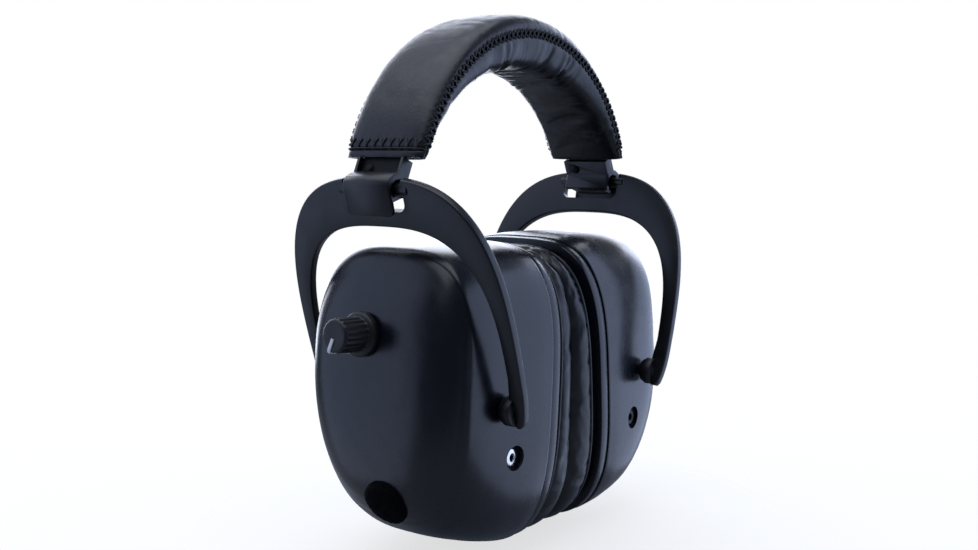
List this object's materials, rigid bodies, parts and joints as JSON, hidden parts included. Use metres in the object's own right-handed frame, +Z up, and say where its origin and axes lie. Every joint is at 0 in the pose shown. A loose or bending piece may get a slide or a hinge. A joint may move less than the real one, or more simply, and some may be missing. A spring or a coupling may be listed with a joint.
{
  "type": "earmuff hearing protector",
  "caption": "Over-ear hearing protector with padded leather band, horseshoe yokes on clips, deep tapered electronic cups, volume knobs, microphones and audio sockets.",
  "frame": {"origin": "middle of the headband pad's underside, where the band rests on the head", "axes": "+X towards the wearer's right, +Y forward, +Z up"},
  "size_m": [0.1608, 0.0924, 0.1846],
  "materials": {
    "shell_plastic": "satin moulded, fine grain",
    "yoke_plastic": "satin moulded",
    "leather": "soft satin leather with fine grain",
    "black_rubber": "matte",
    "foam": "open-cell foam, matte",
    "steel": "brushed",
    "black_steel": "black, satin",
    "chrome": "polished",
    "white_mark": "printed line",
    "circuit_board": "solder mask",
    "battery_can": "satin"
  },
  "bodies": {
    "headband": {"headband_spring_crown": "steel", "headband_cover_crown": "leather", "headband_pad_crown": "leather"},
    "right_arm": {"right_headband_spring_arm": "steel", "right_headband_cover_arm": "leather", "right_headband_pad_arm": "leather", "right_slider_guide": "black_rubber"},
    "left_arm": {"left_headband_spring_arm": "steel", "left_headband_cover_arm": "leather", "left_headband_pad_arm": "leather", "left_slider_guide": "black_rubber"},
    "right_slider": {"right_slider_strap": "black_steel", "right_yoke_clip": "yoke_plastic", "right_clip_rivet": "black_steel"},
    "left_slider": {"left_slider_strap": "black_steel", "left_yoke_clip": "yoke_plastic", "left_clip_rivet": "black_steel"},
    "right_yoke": {"right_yoke": "yoke_plastic"},
    "left_yoke": {"left_yoke": "yoke_plastic"},
    "right_cup": {"right_front_pivot_pin": "black_rubber", "right_rear_pivot_pin": "black_rubber", "right_cup_shell": "shell_plastic", "right_back_plate": "shell_plastic", "right_cushion_plate": "shell_plastic", "right_upper_plate_screw": "steel", "right_lower_plate_screw": "steel", "right_ear_cushion": "leather", "right_foam_liner": "foam", "right_speaker": "black_rubber", "right_circuit_board": "circuit_board", "right_battery_tray": "black_rubber", "right_battery": "battery_can", "right_volume_pot": "steel", "right_mic_capsule": "steel", "right_mic_windscreen": "foam", "right_audio_jack": "black_rubber", "right_jack_ring": "black_rubber"},
    "left_cup": {"left_front_pivot_pin": "black_rubber", "left_rear_pivot_pin": "black_rubber", "left_cup_shell": "shell_plastic", "left_back_plate": "shell_plastic", "left_cushion_plate": "shell_plastic", "left_upper_plate_screw": "steel", "left_lower_plate_screw": "steel", "left_ear_cushion": "leather", "left_foam_liner": "foam", "left_speaker": "black_rubber", "left_circuit_board": "circuit_board", "left_battery_tray": "black_rubber", "left_battery": "battery_can", "left_volume_pot": "steel", "left_mic_capsule": "steel", "left_mic_windscreen": "foam", "left_audio_jack": "black_rubber", "left_jack_ring": "chrome"},
    "right_knob": {"right_volume_knob": "black_rubber", "right_knob_pointer": "white_mark"},
    "left_knob": {"left_volume_knob": "black_rubber", "left_knob_pointer": "white_mark"}
  },
  "joints": [
    {"name": "left_band_spread", "type": "hinge", "parent": "headband", "child": "left_arm", "pos_m": [-0.03273, 0, 0.00254], "axis": [0, 1, 0], "range_deg": [0, 36], "stiffness_Nm_per_rad": 1.6, "springref_deg": -6.88},
    {"name": "left_height_slide", "type": "slide", "parent": "left_arm", "child": "left_slider", "axis": [-0.3987, 0, -0.9171], "range_m": [0, 0.013]},
    {"name": "left_yoke_tilt", "type": "hinge", "parent": "left_slider", "child": "left_yoke", "pos_m": [-0.06469, 0, -0.04123], "axis": [0, 1, 0], "range_deg": [0, 7]},
    {"name": "left_cup_level", "type": "hinge", "parent": "left_yoke", "child": "left_cup", "pos_m": [-0.0442, 0, -0.1113], "axis": [0, -1, 0], "range_deg": [0, 36]},
    {"name": "left_volume_turn", "type": "hinge", "parent": "left_cup", "child": "left_knob", "pos_m": [-0.067, 0.0039, -0.08805], "axis": [0.9977, 0, -0.0678], "range_deg": [0, 280]},
    {"name": "right_band_spread", "type": "hinge", "parent": "headband", "child": "right_arm", "pos_m": [0.03273, 0, 0.00254], "axis": [0, -1, 0], "range_deg": [0, 36], "stiffness_Nm_per_rad": 1.6, "springref_deg": -6.88},
    {"name": "right_height_slide", "type": "slide", "parent": "right_arm", "child": "right_slider", "axis": [0.3987, 0, -0.9171], "range_m": [0, 0.013]},
    {"name": "right_yoke_tilt", "type": "hinge", "parent": "right_slider", "child": "right_yoke", "pos_m": [0.06469, 0, -0.04123], "axis": [0, -1, 0], "range_deg": [0, 7]},
    {"name": "right_cup_level", "type": "hinge", "parent": "right_yoke", "child": "right_cup", "pos_m": [0.0442, 0, -0.1113], "axis": [0, 1, 0], "range_deg": [0, 36]},
    {"name": "right_volume_turn", "type": "hinge", "parent": "right_cup", "child": "right_knob", "pos_m": [0.067, 0.0039, -0.08805], "axis": [-0.9977, 0, -0.0678], "range_deg": [0, 280]}
  ],
  "couplings": [
    {"joint": "right_band_spread", "follows": "left_band_spread", "ratio": 1},
    {"joint": "left_cup_level", "follows": "left_band_spread", "ratio": 1},
    {"joint": "right_cup_level", "follows": "left_band_spread", "ratio": 1}
  ]
}
